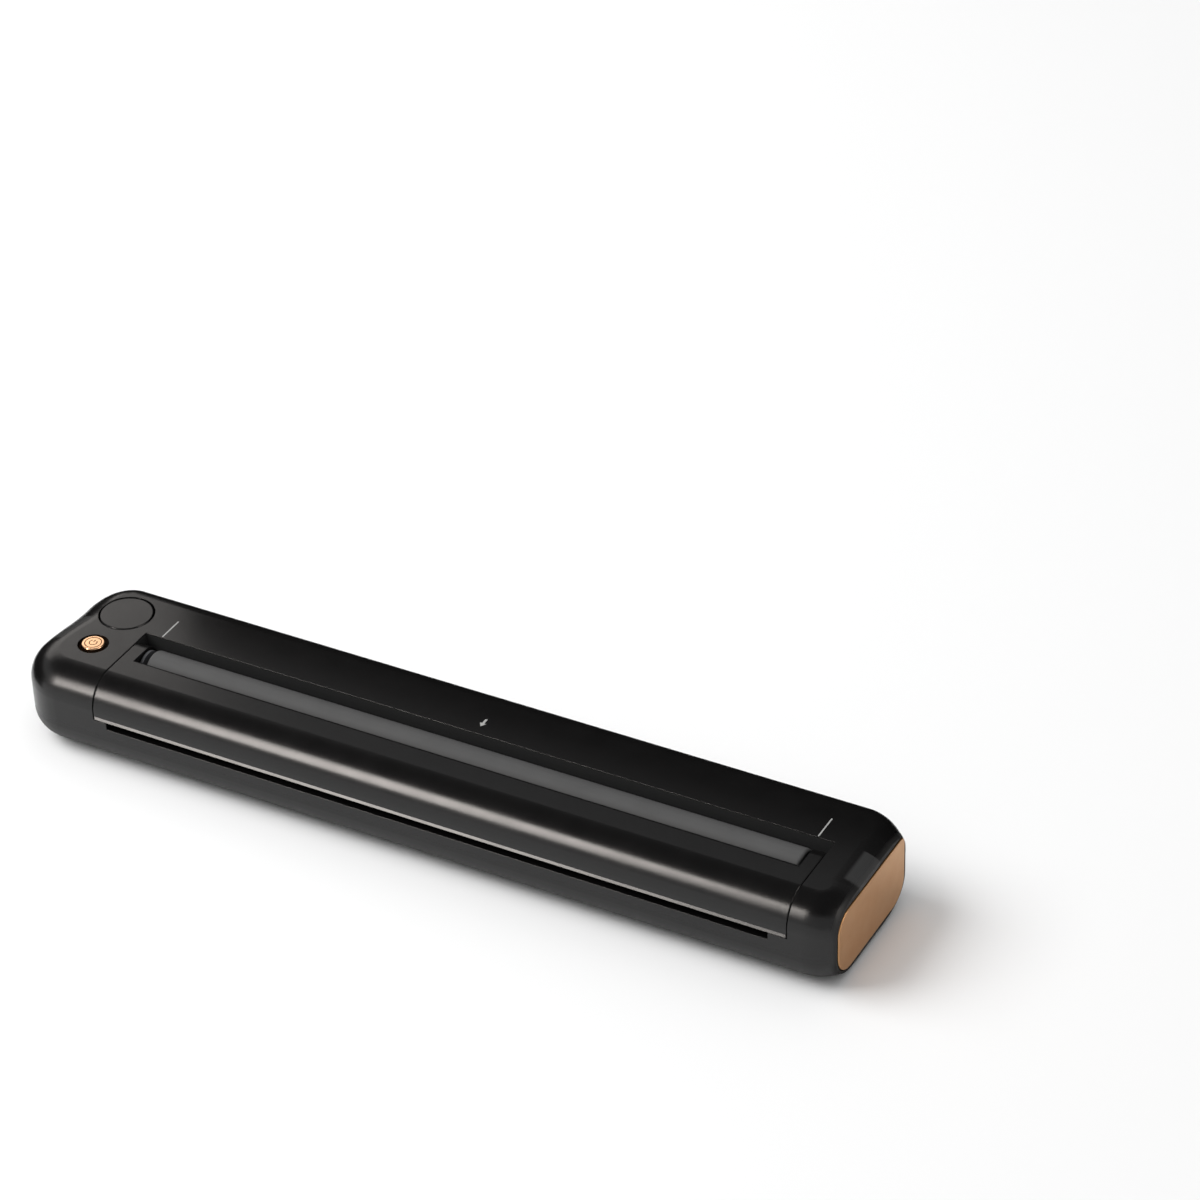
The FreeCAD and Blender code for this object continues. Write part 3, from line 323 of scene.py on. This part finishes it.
def swept(form, centre, low, high, radius, width, opening, steps):
    # Spins a band's cross-section round the centre, less this opening in radians each side of its rear.
    start = math.pi / 2 + opening
    middle = Vector((mm(centre[0]), mm(centre[1]), 0))
    outward = Vector((math.cos(start), math.sin(start), 0))
    inner, outer = radius - width / 2, radius + width / 2
    corners = [form.verts.new(middle + mm(reach) * outward + Vector((0, 0, mm(height))))
               for reach, height in ((inner, low), (outer, low), (outer, high), (inner, high))]
    sides = [form.edges.new(pair) for pair in zip(corners, corners[1:] + corners[:1])]
    bmesh.ops.spin(form, geom=corners + sides, cent=middle, axis=(0, 0, 1), angle=2 * (math.pi - opening),
                   steps=steps, use_merge=opening == 0)
    bmesh.ops.holes_fill(form, edges=form.edges)


def newMark(name, form, material, body):
    # Turns the form into a mark that moves with this body.
    bmesh.ops.recalc_face_normals(form, faces=form.faces)
    piece = modelled(name, form, material)
    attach(piece, body)


# Printed marks on the deck, in millimetres: the sheet's two edges, and an arrow towards the inlet
deckMarks = {"middle": 7.65, "apart": 212.0, "start": 4.45, "length": 8.5, "width": 0.42, "thickness": 0.02}
deckArrow = {"x": 6.75, "tip": 7.35, "length": 3.6, "headWidth": 2.0, "headLength": 1.6, "stemWidth": 0.7}
markTop = deckTop + deckMarks["thickness"]
paperMarks = bmesh.new()
for side in (-1, 1):
    edgeX = deckMarks["middle"] + side * deckMarks["apart"] / 2
    line = rectangle(edgeX, deckMarks["start"], deckMarks["width"], deckMarks["length"])
    raised(paperMarks, line, deckTop, markTop)
newMark("paper_marks", paperMarks, materials["grey_screen_ink"], "base")

arrowHalf = [(0, 0), (deckArrow["headWidth"] / 2, deckArrow["headLength"]),
             (deckArrow["stemWidth"] / 2, deckArrow["headLength"]),
             (deckArrow["stemWidth"] / 2, deckArrow["length"])]
arrowOutline = arrowHalf + [(-x, y) for x, y in reversed(arrowHalf[1:])]
feedArrow = bmesh.new()
raised(feedArrow, [(deckArrow["x"] + x, deckArrow["tip"] + y) for x, y in arrowOutline], deckTop, markTop)
newMark("feed_arrow", feedArrow, materials["grey_screen_ink"], "base")

# Etched lines on the power button's cap, in millimetres: a ring, and an open circle with a bar in its gap
capMarks = {"thickness": 0.015, "ring": {"radius": 2.45, "width": 0.3, "opening": 0, "steps": 64},
            "circle": {"radius": 1.15, "width": 0.3, "opening": 0.62, "steps": 40},
            "bar": {"start": 0.23, "width": 0.3, "length": 1.1}}
capLow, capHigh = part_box("power_button")
capX, capY = [inMm(low + high) / 2 for low, high in zip(capLow[:2], capHigh[:2])]
capTop = inMm(capHigh[2])
lineTop = capTop + capMarks["thickness"]
powerSymbol = bmesh.new()
swept(powerSymbol, (capX, capY), capTop, lineTop, **capMarks["circle"])
bar = capMarks["bar"]
raised(powerSymbol, rectangle(capX, capY + bar["start"], bar["width"], bar["length"]), capTop, lineTop)
newMark("power_symbol", powerSymbol, materials["etched_copper_tone"], "power")
capRing = bmesh.new()
swept(capRing, (capX, capY), capTop, lineTop, **capMarks["ring"])
newMark("cap_ring", capRing, materials["etched_copper_tone"], "power")
print("marks made")

# Floor: a sheet of white paper, which the lamps just bring to white
floorSheet = {"halfSize": 6.0, "colour": "#eeeeee", "roughness": 0.9, "specular": 0.0}
floorForm = bmesh.new()
bmesh.ops.create_grid(floorForm, x_segments=1, y_segments=1, size=floorSheet["halfSize"])
whitePaper = newMaterial("white_paper_sweep", {
    "Base Color": linear(floorSheet["colour"]), "Roughness": floorSheet["roughness"],
    "Specular IOR Level": floorSheet["specular"]})
floor = modelled("floor", floorForm, whitePaper)

# Dark felt flag behind the object and at its left end, seen in gloss alone, which keeps deck and rims black.
# Each panel stands on the floor between two posts, given as x, y and height in millimetres.
flagPanels = (((-185, -60, 45), (-185, 85, 60)), ((-185, 85, 60), (-150, 85, 60)),
              ((-150, 85, 97), (420, 85, 97)))
flagForm = bmesh.new()
for panel in flagPanels:
    feet = [flagForm.verts.new((mm(x), mm(y), 0)) for x, y, height in panel]
    heads = [flagForm.verts.new((mm(x), mm(y), mm(height))) for x, y, height in panel]
    flagForm.faces.new((*feet, *reversed(heads)))
darkFlag = modelled("dark_flag", flagForm, materials["black_felt"])
darkFlag.visible_camera = False
darkFlag.visible_diffuse = False
darkFlag.visible_shadow = False

# Studio walls: soft light from above for matte surfaces, while gloss and camera see pale walls and a dark
# ceiling
room = {"colour": "#ffffff", "horizon": 0.15, "zenith": 0.85, "wall": 0.6, "ceiling": 0.03,
        "wallTop": math.radians(37), "ceilingStart": math.radians(44)}
world = bpy.data.worlds.new("studio")
bpy.context.scene.world = world
world.use_nodes = True
worldTree = world.node_tree
rays = addNode(worldTree, "ShaderNodeLightPath").outputs
seen = rays["Is Camera Ray"]
for kind in ("Is Glossy Ray", "Is Transmission Ray"):
    either = addNode(worldTree, "ShaderNodeMath", {"operation": "MAXIMUM"}, {0: seen, 1: rays[kind]})
    seen = either.outputs[0]
direction = addNode(worldTree, "ShaderNodeTexCoord").outputs["Generated"]
upward = addNode(worldTree, "ShaderNodeSeparateXYZ", links={"Vector": direction}).outputs["Z"]
given = addNode(worldTree, "ShaderNodeMapRange", {"To Min": room["horizon"], "To Max": room["zenith"]},
                {"Value": upward}).outputs["Result"]
shown = addNode(worldTree, "ShaderNodeMapRange",
                {"From Min": math.sin(room["wallTop"]), "From Max": math.sin(room["ceilingStart"]),
                 "To Min": room["wall"], "To Max": room["ceiling"]}, {"Value": upward}).outputs["Result"]
level = addNode(worldTree, "ShaderNodeMapRange", links={"Value": seen, "To Min": given, "To Max": shown})
background = worldTree.nodes["Background"]
background.inputs["Color"].default_value = linear(room["colour"])
worldTree.links.new(level.outputs["Result"], background.inputs["Strength"])

# Soft boxes, with places and sizes in metres and power in watts. The top light reaches matte surfaces alone,
# and the cards show in gloss alone.
objectMiddle = (0, 0, 0.02)
lights = {
    "top_light": {"place": (-1.5, -0.5, 1.6), "target": objectMiddle, "size": (1.6, 1.6), "power": 50,
                  "colour": "#ffffff", "inGloss": False},
    "front_card": {"place": (-1.13, -1.89, 1.30), "target": objectMiddle, "size": (0.6, 1.2), "power": 46,
                   "colour": "#fff8f2", "inGloss": True},
    "side_card": {"place": (1.8, 0.2, 0.9), "target": objectMiddle, "size": (1.0, 1.0), "power": 18,
                  "colour": "#fff8f2", "inGloss": True},
    "left_card": {"place": (-0.44, 0.235, 0.245), "target": (-0.115, 0, 0.03), "size": (0.3, 0.17),
                  "power": 0.22, "colour": "#fff8f2", "inGloss": True},
}
for name, settings in lights.items():
    data = bpy.data.lights.new(name, "AREA")
    data.shape = "RECTANGLE"
    data.size, data.size_y = settings["size"]
    data.energy = settings["power"]
    data.color = linear(settings["colour"])[:3]
    light = placed(name, data)
    light.location = settings["place"]
    aim = Vector(settings["target"]) - Vector(settings["place"])
    light.rotation_euler = aim.to_track_quat("-Z", "Y").to_euler()
    light.visible_diffuse = not settings["inGloss"]
    light.visible_glossy = settings["inGloss"]
print("studio lit")

# Camera, where the photograph was taken from, with its place in metres and its angles in degrees
view = {"place": (0.48815, -0.76965, 0.7067), "turn": 29.59, "tilt": 34.91, "roll": -2.12, "lens": 121.33,
        "sensor": 36, "nearest": 0.01, "farthest": 50}
cameraData = bpy.data.cameras.new("camera")
cameraData.sensor_width = view["sensor"]
cameraData.lens = view["lens"]
cameraData.clip_start = view["nearest"]
cameraData.clip_end = view["farthest"]
camera = placed("camera", cameraData)
turn, tilt, roll = [math.radians(view[angle]) for angle in ("turn", "tilt", "roll")]
forward = Vector((-math.sin(turn) * math.cos(tilt), math.cos(turn) * math.cos(tilt), -math.sin(tilt)))
levelRight = forward.cross(Vector((0, 0, 1))).normalized()
levelUp = levelRight.cross(forward)
right = math.cos(roll) * levelRight + math.sin(roll) * levelUp
up = math.cos(roll) * levelUp - math.sin(roll) * levelRight
facing = Matrix((right, up, -forward)).transposed().to_4x4()
camera.matrix_world = Matrix.Translation(view["place"]) @ facing
bpy.context.scene.camera = camera
bpy.context.scene.view_settings.view_transform = "Standard"
print("camera placed")
